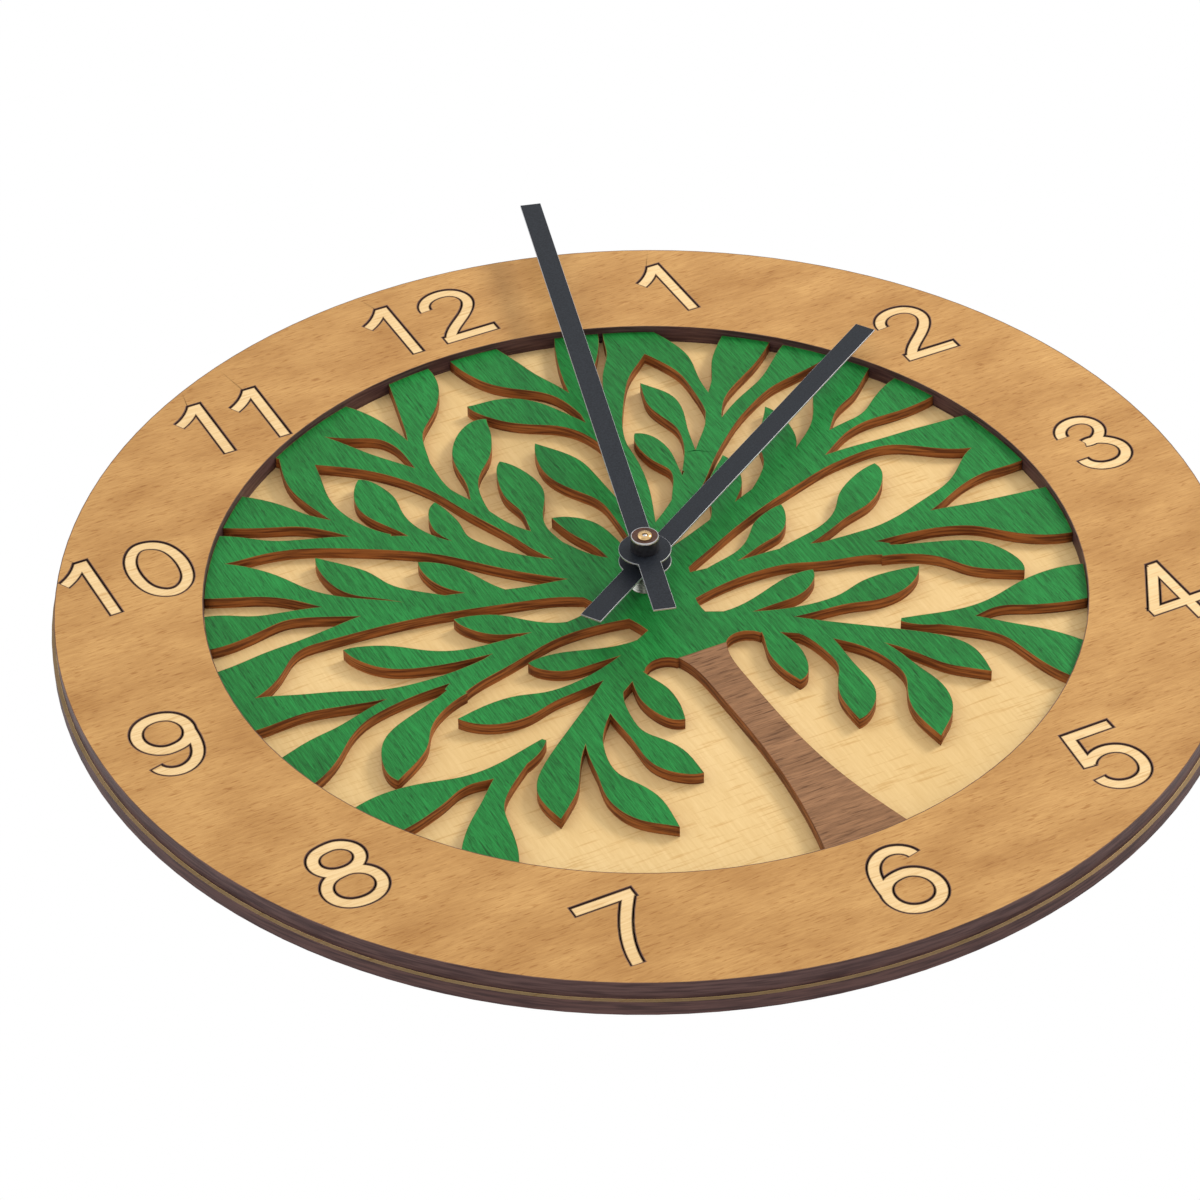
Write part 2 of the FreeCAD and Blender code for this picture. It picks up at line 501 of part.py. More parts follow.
# the crown's heart, which carries the bore and joins the boughs to the trunk: each
# line is one smooth run of its outline, and the runs meet in corners
HEART = [
    [(-7, -30.6), (7, -30.6)],
    [(7, -30.6), (10.2, -28.6), (13.8, -29), (16.4, -31.4)],
    [(16.4, -31.4), (20, -28), (19, -22.8)],
    [(19, -22.8), (8.2, -17.2)],
    [(8.2, -17.2), (9.2, -9), (12, -2), (14, 8), (12, 14)],
    [(12, 14), (4, 12)],
    [(4, 12), (-4, 13)],
    [(-4, 13), (-12, 12)],
    [(-12, 12), (-18, 8)],
    [(-18, 8), (-15, -1), (-10.6, -10), (-8.2, -17.2)],
    [(-8.2, -17.2), (-19, -22.8)],
    [(-19, -22.8), (-20, -28), (-16.4, -31.4)],
    [(-16.4, -31.4), (-13.8, -29), (-10.2, -28.6), (-7, -30.6)],
]
TRUNK = [(0.3, -30.6, 13.6), (0.3, -35.5, 10.4), (0.4, -46, 9.2), (0.6, -66, 9.4),
         (0.8, -78, 10.8), (1.1, -90, 13.8), (1.5, -101, 18), (1.9, -118, 27)]


def mirrored(route):
    return [(-x, y, wide) for x, y, wide in route]


def grown(routes, extra=()):
    """Ribbons and extra faces as one relief, cut round by the ring's window."""
    scale = size("window_radius") / DRAWN_WINDOW
    slab = united([ribbon(route) for route in routes] + list(extra))
    slab.scale(scale)
    window = disc(size("window_radius") - size("tree_gap")).extrude(OUT * scale)
    return footprint(slab.common(window))[0]


def make_tree():
    low = level(RING)
    high = low + size("tree_thick")
    bush_hole = extruded(disc(size("bush_dia") / 2 + size("bush_gap")), low - 1, high + 1)
    heart = Part.Face(Part.Wire([smooth(run).toShape() for run in HEART]))
    routes = CROWN + PAIRED + [mirrored(route) for route in PAIRED]
    crown = extruded(grown(routes, [heart]), low, high).cut(bush_hole)
    feature("tree_crown", crown.Solids[0])
    feature("tree_trunk", extruded(grown([TRUNK]), low, high))
    for side, routes in (("left", SPRIG), ("right", [mirrored(r) for r in SPRIG])):
        feature(f"sprig_{side}", extruded(grown(routes), low, high))


# ------------------------------------------------------------------ the movement case
def make_case():
    half = f"{S}case_side / 2"
    inner = f"({S}case_side / 2 - {S}case_wall)"
    shelf = f"(-{inner} + {S}bay_high)"
    case = body("movement_case")
    block(case, f"-{half}", f"-{half}", 0, S + "case_side", S + "case_side", S + "case_depth")
    block(case, f"-{inner}", f"-{inner}", 0, f"2 * {inner}", S + "bay_high", FRONT,
          cut=True)
    block(case, f"-{inner}", f"{shelf} + {S}case_wall", 0, f"2 * {inner}",
          f"2 * {inner} - {S}bay_high - {S}case_wall", FRONT, cut=True)
    block(case, f"-{half}", shelf, 0, S + "case_side", f"{half} - {shelf}",
          S + "cover_thick", cut=True)
    block(case, f"-{S}hanger_wide / 2", half, 0, S + "hanger_wide", S + "hanger_high",
          S + "hanger_thick")
    eye = f"{half} + {S}keyhole_dia / 2 + 0.5"
    rod(case, 0, eye, 0, S + "keyhole_dia / 2", S + "hanger_thick", cut=True)
    block(case, f"-{S}keyhole_slot / 2", eye, 0, S + "keyhole_slot", S + "keyhole_rise",
          S + "hanger_thick", cut=True)
    rod(case, 0, f"{eye} + {S}keyhole_rise", 0, S + "keyhole_slot / 2",
        S + "hanger_thick", cut=True)
    rod(case, 0, 0, FRONT, S + "bush_dia / 2", S + "case_wall", cut=True)
    keep("movement_case", case)

    cover = body("movement_cover")
    cup = f"{S}knob_sunk + {S}knob_high + {S}case_wall * 0.3"
    block(cover, f"-{half}", shelf, 0, S + "case_side", f"{half} - {shelf}", S + "cover_thick")
    knob_x, knob_y = KNOB_AT
    rod(cover, knob_x, knob_y, 0, f"{S}knob_cup_dia / 2 + 0.6", f"{cup} + 0.6")
    rod(cover, knob_x, knob_y, 0, S + "knob_cup_dia / 2", cup, cut=True)
    rod(cover, knob_x, knob_y, 0, f"{S}knob_shaft_dia / 2 + 0.05", f"{cup} + 0.6", cut=True)
    keep("movement_cover", cover)

    pad = body("adhesive_pad")
    edge = f"({half} - {S}pad_margin)"
    block(pad, f"-{edge}", f"-{edge}", S + "case_depth", f"2 * {edge}", f"2 * {edge}",
          S + "pad_thick")
    rod(pad, 0, 0, S + "case_depth", f"{S}bush_dia / 2 + {S}bush_gap", S + "pad_thick", cut=True)
    keep("adhesive_pad", pad)

    bush = body("threaded_bush")
    base = f"({FRONT} - {S}flange_thick)"
    rod(bush, 0, 0, base, S + "flange_dia / 2", S + "flange_thick")
    rod(bush, 0, 0, FRONT, S + "bush_dia / 2", f"{FACE} + {S}bush_rise - {FRONT}")
    rod(bush, 0, 0, base, S + "bush_bore / 2", f"{FACE} + {S}bush_rise - {base}", cut=True)
    keep("threaded_bush", bush)


def make_battery():
    inner = f"({S}case_side / 2 - {S}case_wall)"
    y = f"(-{inner} + {S}bay_high / 2)"
    z = f"({FRONT} - {S}battery_dia / 2 - 0.1)"
    left = f"(-{inner} + 2 * {S}contact_thick + 0.8)"

    def lying(owner, x, radius, long):
        made = owner.newObject("PartDesign::AdditiveCylinder", owner.Name + "_rod")
        bind(made, Radius=radius, Height=long)
        made.Placement = FreeCAD.Placement(Vector(0, 0, 0),
                                           FreeCAD.Rotation(Vector(0, 1, 0), 90))
        at(made, x, y, z)

    battery = body("battery")
    lying(battery, left, S + "battery_dia / 2", S + "battery_long")
    lying(battery, f"{left} + {S}battery_long", S + "battery_cap_dia / 2", S + "battery_cap")
    keep("battery", battery)
    right = f"{left} + {S}battery_long + {S}battery_cap"
    for name, x in (("contact_negative", f"{left} - {S}contact_thick"),
                    ("contact_positive", right)):
        contact = body(name)
        block(contact, x, f"{y} - {S}contact_wide / 2", f"{z} - {S}contact_wide / 2",
              S + "contact_thick", S + "contact_wide", S + "contact_wide")
        keep(name, contact)


# ---------------------------------------------------------------------- tooth wheels
PRESSURE = radians(25)
ADDENDUM, DEDENDUM, SLACK = 0.65, 0.95, 0.06


def involute(angle):
    return tan(angle) - angle


def gear(teeth, module, phase, bore):
    """A flat involute wheel with a tooth centred on the angle phase."""
    pitch = module * teeth / 2
    base = pitch * cos(PRESSURE)
    tip, root = pitch + ADDENDUM * module, pitch - DEDENDUM * module
    half_pitch = pi / (2 * teeth) - SLACK * module / pitch

    def half(radius):
        return half_pitch + involute(PRESSURE) - involute(acos(base / max(radius, base)))

    flank = [root, max(base, root), (pitch + max(base, root)) / 2, pitch, tip]
    points = []
    for k in range(teeth):
        middle = phase + 2 * pi * k / teeth
        for radius in flank:
            points.append((radius, middle - half(radius)))
        for radius in reversed(flank):
            points.append((radius, middle + half(radius)))
    corners = []
    for radius, angle in points:
        corner = Vector(radius * cos(angle), radius * sin(angle), 0)
        if not corners or corner.distanceToPoint(corners[-1]) > 1e-4:
            corners.append(corner)
    return Part.Face(Part.makePolygon(corners + corners[:1])).cut(disc(bore))


def meshed(phase, teeth, other, toward):
    """The phase of a wheel of other teeth that meshes with one of teeth, whose own
    phase is given, and from which it lies in the direction toward."""
    step = (phase - toward) * teeth / (2 * pi)
    return toward + pi + (0.5 - step) * 2 * pi / other


CANNON, MOTION, MOTION_PINION, HOUR = 16, 48, 10, 40
KNOB, CENTRE, THIRD_PINION, THIRD = 24, 64, 8, 60
SECOND_PINION, SECOND, BETWEEN_PINION, BETWEEN, ROTOR = 8, 60, 10, 50, 10

MOTION_APART = size("motion_module") * (CANNON + MOTION) / 2
KNOB_APART = size("motion_module") * (MOTION + KNOB) / 2
CENTRE_APART = size("centre_module") * (CENTRE + THIRD_PINION) / 2
BETWEEN_APART = size("second_module") * (SECOND + BETWEEN_PINION) / 2
ROTOR_APART = size("rotor_module") * (BETWEEN + ROTOR) / 2
HOUR_MODULE = 2 * MOTION_APART / (MOTION_PINION + HOUR)
THIRD_MODULE = 2 * CENTRE_APART / (THIRD + SECOND_PINION)

KNOB_TOWARD, BETWEEN_TOWARD, ROTOR_TOWARD = radians(105), radians(100), radians(120)
MOTION_AT = (-MOTION_APART, 0.0)
KNOB_AT = (MOTION_AT[0] + KNOB_APART * cos(KNOB_TOWARD), KNOB_APART * sin(KNOB_TOWARD))
THIRD_AT = (CENTRE_APART, 0.0)
BETWEEN_AT = (BETWEEN_APART * cos(BETWEEN_TOWARD), BETWEEN_APART * sin(BETWEEN_TOWARD))
ROTOR_AT = (BETWEEN_AT[0] + ROTOR_APART * cos(ROTOR_TOWARD),
            BETWEEN_AT[1] + ROTOR_APART * sin(ROTOR_TOWARD))


def stacked(place, *layers):
    """One turned piece from flat faces, each with its low and high level."""
    solids = [extruded(face, low, high) for face, low, high in layers]
    shape = solids[0].fuse(solids[1:]) if len(solids) > 1 else solids[0]
    shape.translate(Vector(*place, 0))
    return shape.removeSplitter().Solids[0]


def collar(radius, bore):
    return disc(radius).cut(disc(bore))


def make_wheels():
    front = level(FRONT)
    thick = size("wheel_thick")
    on_pin = size("pin_dia") / 2 + size("pin_fit")
    motion_module = size("motion_module")
    hand_face = level(HOUR_HAND) + size("hand_thick") / 2
    pipe = size("hour_pipe_dia") / 2
    pipe_bore = size("hour_pipe_bore") / 2
    arbor = size("minute_arbor_dia") / 2
    arbor_bore = size("minute_arbor_bore") / 2
    second = size("second_arbor_dia") / 2
    nut_top = level(MINUTE_HAND) + size("hand_thick") / 2 + size("nut_high")
    arbor_top = nut_top + size("arbor_show")

    hour_low = front - size("flange_thick") - 0.1 - thick
    hour_phase = meshed(0.0, MOTION_PINION, HOUR, 0.0)
    feature("hour_wheel", stacked(
        (0, 0),
        (gear(HOUR, HOUR_MODULE, hour_phase, pipe_bore), hour_low, hour_low + thick),
        (collar(pipe, pipe_bore), hour_low, hand_face + size("hour_pipe_tip"))))

    motion_low = hour_low - 1.1
    motion_phase = meshed(0.0, CANNON, MOTION, pi)
    feature("motion_wheel", stacked(
        MOTION_AT,
        (gear(MOTION, motion_module, motion_phase, on_pin), motion_low, motion_low + thick),
        (gear(MOTION_PINION, HOUR_MODULE, 0.0, on_pin), motion_low + thick,
         hour_low + thick + 0.05)))

    feature("minute_arbor", stacked(
        (0, 0),
        (gear(CANNON, motion_module, 0.0, arbor_bore), motion_low - 0.1,
         motion_low + thick + 0.1),
        (collar(arbor, arbor_bore), front - 4.8, arbor_top)))

    knob_phase = meshed(motion_phase, MOTION, KNOB, KNOB_TOWARD)
    knob_low = size("knob_sunk")
    feature("setting_knob", stacked(
        KNOB_AT,
        (gear(KNOB, motion_module, knob_phase, 0.2), motion_low, motion_low + thick),
        (disc(size("knob_shaft_dia") / 2), knob_low + size("knob_high"), motion_low + thick),
        (disc(size("knob_dia") / 2), knob_low, knob_low + size("knob_high"))))

    centre_module = size("centre_module")
    feature("centre_wheel", stacked(
        (0, 0),
        (gear(CENTRE, centre_module, 0.0, arbor + size("pin_fit")), front - 4.2,
         front - 4.2 + thick)))

    third_phase = meshed(0.0, CENTRE, THIRD_PINION, 0.0)
    feature("third_wheel", stacked(
        THIRD_AT,
        (gear(THIRD_PINION, centre_module, third_phase, on_pin), front - 5.2, front - 3.2),
        (gear(THIRD, THIRD_MODULE, 0.0, on_pin), front - 6.0, front - 6.0 + thick)))

    second_phase = meshed(0.0, THIRD, SECOND_PINION, pi)
    feature("second_wheel", stacked(
        (0, 0),
        (gear(SECOND, size("second_module"), 0.0, second / 2), front - 7.8,
         front - 7.8 + thick),
        (gear(SECOND_PINION, THIRD_MODULE, second_phase, second / 2), front - 7.0,
         front - 5.0),
        (disc(second), front - 7.9, arbor_top - 0.1)))

    between_phase = meshed(0.0, SECOND, BETWEEN_PINION, BETWEEN_TOWARD)
    feature("intermediate_wheel", stacked(
        BETWEEN_AT,
        (gear(BETWEEN_PINION, size("second_module"), between_phase, on_pin), front - 8.6,
         front - 6.9),
        (gear(BETWEEN, size("rotor_module"), 0.0, on_pin), front - 9.2, front - 8.6)))

    rotor_phase = meshed(0.0, BETWEEN, ROTOR, ROTOR_TOWARD)
    feature("rotor_pinion", stacked(
        ROTOR_AT,
        (gear(ROTOR, size("rotor_module"), rotor_phase, on_pin), front - 9.4, front - 7.6)))
    feature("rotor_magnet", stacked(
        ROTOR_AT,
        (collar(size("rotor_dia") / 2, on_pin), front - 7.6, front - 2.0)))

    # fixed pins: the motion wheel's post stands on the front wall, the others cross
    # the case or stand on the cover
    radius = size("pin_dia") / 2
    cover = size("cover_thick")
    posts = ((MOTION_AT, motion_low - 0.2, front), (THIRD_AT, cover, front),
             (BETWEEN_AT, cover, front - 6.7), (ROTOR_AT, cover, front))
    feature("arbor_pins", Part.Compound(
        [extruded(disc(radius, *place), low, high) for place, low, high in posts]))


# ------------------------------------------------------------------ motor and circuit
def make_motor():
    thick = size("stator_thick")
    inner = size("case_side") / 2 - size("case_wall")
    plate_low = level(FRONT) - 5.2
    hole = size("rotor_dia") / 2 + size("rotor_air")
    rotor_x, rotor_y = ROTOR_AT
    left, right = rotor_x - hole - 2.2, inner - 3.0
    core_y = rotor_y + 8.6
    leg = 3.6
    foot = rotor_y - hole - 0.45

    def rect(x0, y0, x1, y1):
        return Part.makePlane(x1 - x0, y1 - y0, Vector(x0, y0, 0))

    plate = united([rect(left, foot, right, rotor_y + hole + 1.5),
                    rect(left, foot, left + leg, core_y + 1.2),
                    rect(right - leg, foot, right, core_y + 1.2)])
    plate = footprint(plate.cut(disc(hole, rotor_x, rotor_y).extrude(OUT)))[0]
    feature("stator_plate", extruded(plate, plate_low, plate_low + thick))
    core = rect(left, core_y - 1.0, right, core_y + 1.0)
    feature("coil_core", extruded(core, plate_low - thick, plate_low))

    radius = size("coil_dia") / 2
    long = min(size("coil_long"), right - left - 2 * leg - 1.0)
    middle = Vector((left + right - long) / 2, core_y, plate_low - thick / 2)
    coil = Part.makeCylinder(radius, long, middle, Vector(1, 0, 0))
    feature("drive_coil", coil.cut(extruded(core, plate_low - thick, plate_low)))

    board_low = size("cover_thick") + 2.0
    board_thick = size("circuit_thick")
    circuit = rect(-inner + 0.6, -6.0, -inner + 8.6, 24.0)
    feature("circuit_board", extruded(circuit, board_low, board_low + board_thick))
    crystal = Part.makeCylinder(1.0, 6.0, Vector(-inner + 3.0, 14.0, board_low + board_thick + 1.0),
                                Vector(0, 1, 0))
    feature("quartz_crystal", crystal)
    chip = Part.makeCone(2.4, 1.6, 1.0, Vector(-inner + 4.6, 4.0, board_low + board_thick))
    feature("driver_chip", chip)


# ------------------------------------------------------------------------- the hands
HOUR_SHOWN, MINUTE_SHOWN = 57.6, 16.0


def make_hand(node, middle, long, tail, bore, turn):
    hand = body(node)
    low = f"{middle} - {S}hand_thick / 2"
    block(hand, f"-{S}hand_wide / 2", f"-{tail}", low, S + "hand_wide", f"{long} + {tail}",
          S + "hand_thick")
    rod(hand, 0, 0, low, S + "hand_hub_dia / 2", S + "hand_thick")
    rod(hand, 0, 0, low, bore, S + "hand_thick", cut=True)
    keep(node, hand, turn)


def make_hands():
    make_hand("hour_hand", HOUR_HAND, S + "hour_hand_long", S + "hour_hand_tail",
              S + "hour_pipe_dia / 2", HOUR_SHOWN)
    make_hand("minute_hand", MINUTE_HAND, S + "minute_hand_long", S + "minute_hand_tail",
              S + "minute_arbor_dia / 2", MINUTE_SHOWN)
    nut = body("hand_nut")
    low = f"{MINUTE_HAND} + {S}hand_thick / 2"
    rod(nut, 0, 0, low, S + "nut_dia / 2", S + "nut_high")
    rod(nut, 0, 0, low, S + "minute_arbor_dia / 2", S + "nut_high", cut=True)
    keep("hand_nut", nut, MINUTE_SHOWN)


# ----------------------------------------------------------------------------- build
make_ring(make_boards())
make_tree()
make_case()
make_battery()
make_wheels()
make_motor()
make_hands()
doc.recompute()

for item in doc.Objects:
    if "Invalid" in item.State or "Error" in item.State:
        raise RuntimeError(f"{item.Label} did not build: {item.State}")
for node, piece in pieces.items():
    if piece.Shape.isNull() or not piece.Shape.isValid():
        raise RuntimeError(f"{node} has no valid shape")

os.makedirs("parts", exist_ok=True)
for node, piece in pieces.items():
    piece.Shape.exportStep(f"parts/{node}.step")
    print(node, len(piece.Shape.Solids), round(piece.Shape.Volume, 1))
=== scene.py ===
import json
from math import cos, pi, radians, sin

import bmesh
import bpy
from mathutils import Matrix, Vector


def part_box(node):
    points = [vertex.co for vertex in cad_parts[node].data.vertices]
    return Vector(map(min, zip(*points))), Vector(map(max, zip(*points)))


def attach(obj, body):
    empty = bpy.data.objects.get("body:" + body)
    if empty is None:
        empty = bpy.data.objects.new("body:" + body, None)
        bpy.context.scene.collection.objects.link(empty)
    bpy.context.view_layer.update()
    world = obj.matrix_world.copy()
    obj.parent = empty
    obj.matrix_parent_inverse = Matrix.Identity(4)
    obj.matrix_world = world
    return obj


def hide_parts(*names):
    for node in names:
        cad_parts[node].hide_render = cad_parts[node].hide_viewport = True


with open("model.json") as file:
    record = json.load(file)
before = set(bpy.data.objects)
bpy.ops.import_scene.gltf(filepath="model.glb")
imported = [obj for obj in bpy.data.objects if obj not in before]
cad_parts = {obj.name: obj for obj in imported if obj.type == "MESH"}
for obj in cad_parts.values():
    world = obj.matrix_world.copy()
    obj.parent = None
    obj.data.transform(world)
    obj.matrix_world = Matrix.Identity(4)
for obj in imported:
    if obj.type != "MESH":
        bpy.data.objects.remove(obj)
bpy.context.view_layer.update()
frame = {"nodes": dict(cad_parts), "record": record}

mm = 0.001
nodes = frame["nodes"]
bodyOf = {}
for bodyName, held in frame["record"]["behaviour"]["bodies"].items():
    for nodeName in held:
        bodyOf[nodeName] = bodyName

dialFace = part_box("hour_ring")[0][1]    # the level of the ring's front, at which the camera aims


# shader helpers

def newMaterial(name, roughness, metallic=0.0):
    material = bpy.data.materials.new(name)
    material.use_nodes = True
    shader = material.node_tree.nodes["Principled BSDF"]
    shader.inputs["Roughness"].default_value = roughness
    shader.inputs["Metallic"].default_value = metallic
    shader.inputs["Specular IOR Level"].default_value = 0.2
    return material, material.node_tree, shader


def addNode(tree, kind, **settings):
    node = tree.nodes.new(kind)
    for key, value in settings.items():
        setattr(node, key, value)
    return node


mixSockets = dict(factor=0, first=6, second=7, result=2)    # a colour Mix node's sockets, by number


def mixColours(tree, factor, first, second, blend="MIX"):
    mix = addNode(tree, "ShaderNodeMix", data_type="RGBA", blend_type=blend)
    for place, value in (("factor", factor), ("first", first), ("second", second)):
        socket = mix.inputs[mixSockets[place]]
        if isinstance(value, (int, float)):
            socket.default_value = value
        elif isinstance(value, tuple):
            socket.default_value = (*value, 1)
        else:
            tree.links.new(value, socket)
    return mix.outputs[mixSockets["result"]]


def stretchedNoise(tree, stretch, detail=4.0, roughness=0.6, shift=(0, 0, 0)):
    where = addNode(tree, "ShaderNodeTexCoord")
    mapping = addNode(tree, "ShaderNodeMapping")
    mapping.inputs["Scale"].default_value = stretch
    mapping.inputs["Location"].default_value = shift
    noise = addNode(tree, "ShaderNodeTexNoise")
    noise.inputs["Scale"].default_value = 1.0
    noise.inputs["Detail"].default_value = detail
    noise.inputs["Roughness"].default_value = roughness
    tree.links.new(where.outputs["Object"], mapping.inputs["Vector"])
    tree.links.new(mapping.outputs["Vector"], noise.inputs["Vector"])
    return noise.outputs[0]


def ramp(tree, value, places, colours):
    made = addNode(tree, "ShaderNodeValToRGB")
    for element, place, colour in zip(made.color_ramp.elements, places, colours):
        element.position = place
        element.color = (*colour, 1)
    tree.links.new(value, made.inputs[0])
    return made.outputs[0]


def bumped(tree, shader, height, strength, distance):
    bump = addNode(tree, "ShaderNodeBump")
    bump.inputs["Strength"].default_value = strength
    bump.inputs["Distance"].default_value = distance
    tree.links.new(height, bump.inputs["Height"])
    tree.links.new(bump.outputs[0], shader.inputs["Normal"])


# woods: a broad tone, fine grain and pores, with the scorch that the laser leaves on cut walls

white = (1, 1, 1)
woodPattern = dict(
    grainDetail=6.0, grainRoughness=0.7, grainStops=(0.3, 0.68), grainDepth=0.1 * mm,
    toneDetail=3.0, toneShift=(3, 5, 7), toneStops=(0.3, 0.7),
    poreDetail=2.0, poreShift=(11, 2, 4), poreStops=(0.3, 0.42),
    plyStretch=(90, 1500, 90), plyDetail=2.0, plyStops=(0.36, 0.62), softness=0.5)


def woodMaterial(look):
    material, tree, shader = newMaterial(look["name"], look["roughness"])
    pattern = woodPattern
    soft = pattern["softness"]
    fine = stretchedNoise(tree, look["grain"], pattern["grainDetail"], pattern["grainRoughness"])
    broad = stretchedNoise(tree, look["tone"], pattern["toneDetail"], soft, pattern["toneShift"])
    pores = stretchedNoise(tree, look["pores"], pattern["poreDetail"], soft, pattern["poreShift"])
    wood = ramp(tree, fine, pattern["grainStops"], (look["dark"], look["light"]))
    shade = ramp(tree, broad, pattern["toneStops"], (look["shade"], white))
    wood = mixColours(tree, 1.0, wood, shade, "MULTIPLY")
    specks = ramp(tree, pores, pattern["poreStops"], (look["poreTint"], white))
    wood = mixColours(tree, 1.0, wood, specks, "MULTIPLY")
    plies = stretchedNoise(tree, pattern["plyStretch"], pattern["plyDetail"], soft)
    burnt = ramp(tree, plies, pattern["plyStops"], (look["burntDark"], look["burntLight"]))
    scorch = addNode(tree, "ShaderNodeAttribute", attribute_name="scorch")
    colour = mixColours(tree, scorch.outputs["Fac"], wood, burnt)
    tree.links.new(colour, shader.inputs["Base Color"])
    bumped(tree, shader, fine, look["bump"], pattern["grainDepth"])
    return material


ringLook = dict(
    name="golden birch ply", roughness=0.5, bump=0.3,
    grain=(190, 60, 2300), tone=(38, 5, 70), pores=(320, 160, 2200),
    dark=(0.47, 0.245, 0.078), light=(0.62, 0.355, 0.125),
    shade=(0.74, 0.66, 0.56), poreTint=(0.76, 0.66, 0.54),
    burntDark=(0.050, 0.024, 0.024), burntLight=(0.105, 0.056, 0.052))
boardLook = dict(
    name="bare poplar ply", roughness=0.6, bump=0.2,
    grain=(1300, 60, 110), tone=(14, 5, 9), pores=(90, 60, 1500),
    dark=(0.72, 0.50, 0.225), light=(0.80, 0.585, 0.29),
    shade=(0.9, 0.86, 0.78), poreTint=(0.86, 0.78, 0.66),
    burntDark=(0.045, 0.022, 0.022), burntLight=(0.10, 0.05, 0.045))
crownLook = dict(
    name="green stained ply", roughness=0.5, bump=0.35,
    grain=(2600, 60, 130), tone=(40, 5, 14), pores=(2600, 60, 260),
    dark=(0.001, 0.088, 0.010), light=(0.016, 0.29, 0.055),
    shade=(0.62, 0.72, 0.6), poreTint=(0.34, 0.52, 0.42),
    burntDark=(0.12, 0.034, 0.010), burntLight=(0.36, 0.125, 0.032))
trunkLook = dict(
    name="walnut stained ply", roughness=0.5, bump=0.35,
    grain=(120, 60, 1900), tone=(7, 5, 80), pores=(170, 60, 2300),
    dark=(0.17, 0.078, 0.034), light=(0.40, 0.205, 0.098),
    shade=(0.7, 0.66, 0.6), poreTint=(0.46, 0.4, 0.34),
    burntDark=(0.09, 0.028, 0.010), burntLight=(0.27, 0.095, 0.030))
inlayLook = dict(
    name="pale inlay ply", roughness=0.6, bump=0.2,
    grain=(70, 60, 1500), tone=(9, 5, 40), pores=(110, 60, 1700),
    dark=(0.72, 0.49, 0.23), light=(0.86, 0.65, 0.36),
    shade=(0.9, 0.86, 0.8), poreTint=(0.84, 0.76, 0.66),
    burntDark=(0.03, 0.012, 0.008), burntLight=(0.10, 0.04, 0.02))


# metals and plastics

plainPattern = dict(speck=(900, 900, 900), detail=4.0, roughness=0.7, stops=(0.35, 0.65), bump=0.08,
                    depth=0.05 * mm)


def plainMaterial(look):
    material, tree, shader = newMaterial(look["name"], look["roughness"], look.get("metallic", 0.0))
    shader.inputs["Coat Weight"].default_value = look.get("coat", 0.0)
    pattern = plainPattern
    speck = stretchedNoise(tree, look.get("speck", pattern["speck"]), pattern["detail"], pattern["roughness"])
    colour = ramp(tree, speck, pattern["stops"], (look["dark"], look["light"]))
    if "bare" in look:
        worn = addNode(tree, "ShaderNodeAttribute", attribute_name="bare")
        colour = mixColours(tree, worn.outputs["Fac"], colour, look["bare"])
        tree.links.new(worn.outputs["Fac"], shader.inputs["Metallic"])
    tree.links.new(colour, shader.inputs["Base Color"])
    bumped(tree, shader, speck, look.get("bump", pattern["bump"]), pattern["depth"])
    return material


def plain(name, dark, light, roughness, **more):
    return plainMaterial(dict(name=name, dark=dark, light=light, roughness=roughness, **more))


ringWood = woodMaterial(ringLook)
boardWood = woodMaterial(boardLook)
crownWood = woodMaterial(crownLook)
trunkWood = woodMaterial(trunkLook)
inlayWood = woodMaterial(inlayLook)
handLacquer = plain("blue-black lacquer", (0.006, 0.008, 0.012), (0.018, 0.022, 0.030), 0.5,
                    bare=(0.52, 0.53, 0.56), speck=(2600, 2600, 2600))
nickel = plain("dull nickel", (0.34, 0.35, 0.31), (0.50, 0.51, 0.46), 0.34, metallic=1.0)
brass = plain("turned brass", (0.58, 0.37, 0.15), (0.78, 0.54, 0.27), 0.26, metallic=1.0)
copper = plain("coppered face", (0.075, 0.042, 0.034), (0.15, 0.075, 0.055), 0.4, metallic=1.0)
silver = plain("bright rim", (0.44, 0.44, 0.45), (0.60, 0.60, 0.62), 0.25, metallic=1.0)
nutBlack = plain("black oxide", (0.01, 0.01, 0.012), (0.025, 0.025, 0.03), 0.35, coat=0.2)
casePlastic = plain("moulded black plastic", (0.014, 0.014, 0.015), (0.03, 0.03, 0.032), 0.52, bump=0.25)
knobPlastic = plain("grey knob plastic", (0.05, 0.05, 0.055), (0.09, 0.09, 0.095), 0.45)
wheelPlastic = plain("natural acetal", (0.70, 0.68, 0.60), (0.80, 0.78, 0.72), 0.4)
steel = plain("drawn steel", (0.42, 0.42, 0.44), (0.6, 0.6, 0.62), 0.3, metallic=1.0)
ferrite = plain("sintered ferrite", (0.06, 0.06, 0.065), (0.10, 0.10, 0.11), 0.55)
winding = plain("lacquered copper wire", (0.36, 0.12, 0.04), (0.6, 0.24, 0.09), 0.3, metallic=1.0,
                speck=(4200, 60, 60), bump=0.5)
solderMask = plain("green solder mask", (0.01, 0.10, 0.04), (0.015, 0.15, 0.06), 0.35, coat=0.4)
epoxy = plain("black epoxy", (0.006, 0.006, 0.006), (0.012, 0.012, 0.012), 0.25, coat=0.5)
foam = plain("black foam", (0.008, 0.008, 0.008), (0.03, 0.03, 0.03), 0.95, bump=0.6)
cellBlack = plain("black cell sleeve", (0.008, 0.008, 0.01), (0.014, 0.014, 0.016), 0.3, coat=0.5)
cellCopper = plain("copper cell sleeve", (0.50, 0.24, 0.10), (0.62, 0.32, 0.14), 0.3, metallic=1.0)
print("materials", len(bpy.data.materials))


# mesh helpers

weldGap = 0.001 * mm
creaseAngle = radians(35)
cornerAngle = 1.2    # in radians: an edge that turns more than this is a corner


